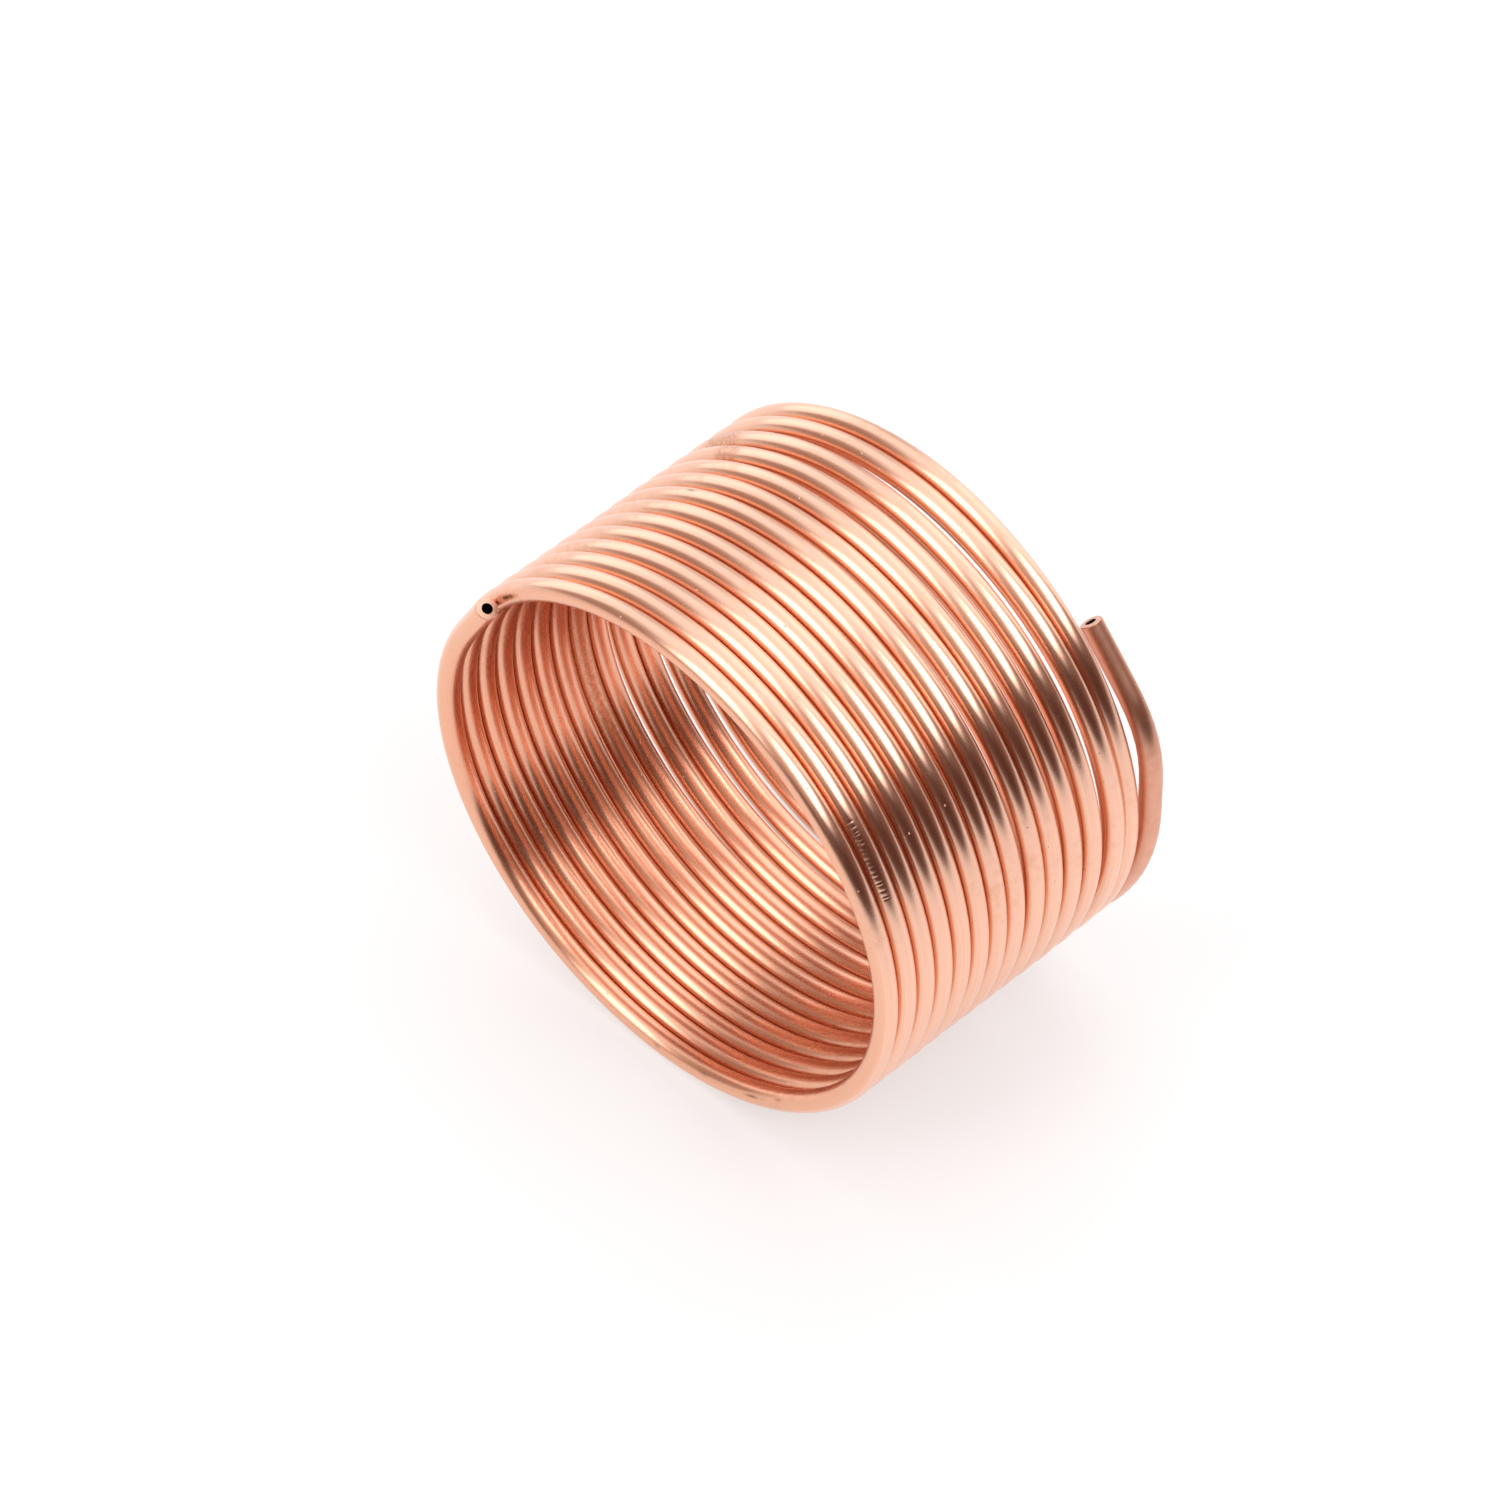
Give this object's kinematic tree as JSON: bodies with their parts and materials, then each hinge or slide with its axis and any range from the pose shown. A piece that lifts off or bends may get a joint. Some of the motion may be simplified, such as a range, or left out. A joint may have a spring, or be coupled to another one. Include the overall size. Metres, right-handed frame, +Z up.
{
  "type": "capillary tube",
  "caption": "Bright drawn copper capillary tube wound into one layer of oval turns, both ends straight, open and cut square, for metering refrigerant or small lines.",
  "frame": {"origin": "on the floor under the middle of the coil's bounding box", "axes": "+Z up, +Y along the coil's axis from the near end to the far end, +X across the coil's wider side"},
  "size_m": [0.0522, 0.0352, 0.0494],
  "materials": {
    "copper": "bright drawn copper"
  },
  "bodies": {
    "root": {"capillary_tube": "copper"}
  },
  "joints": []
}
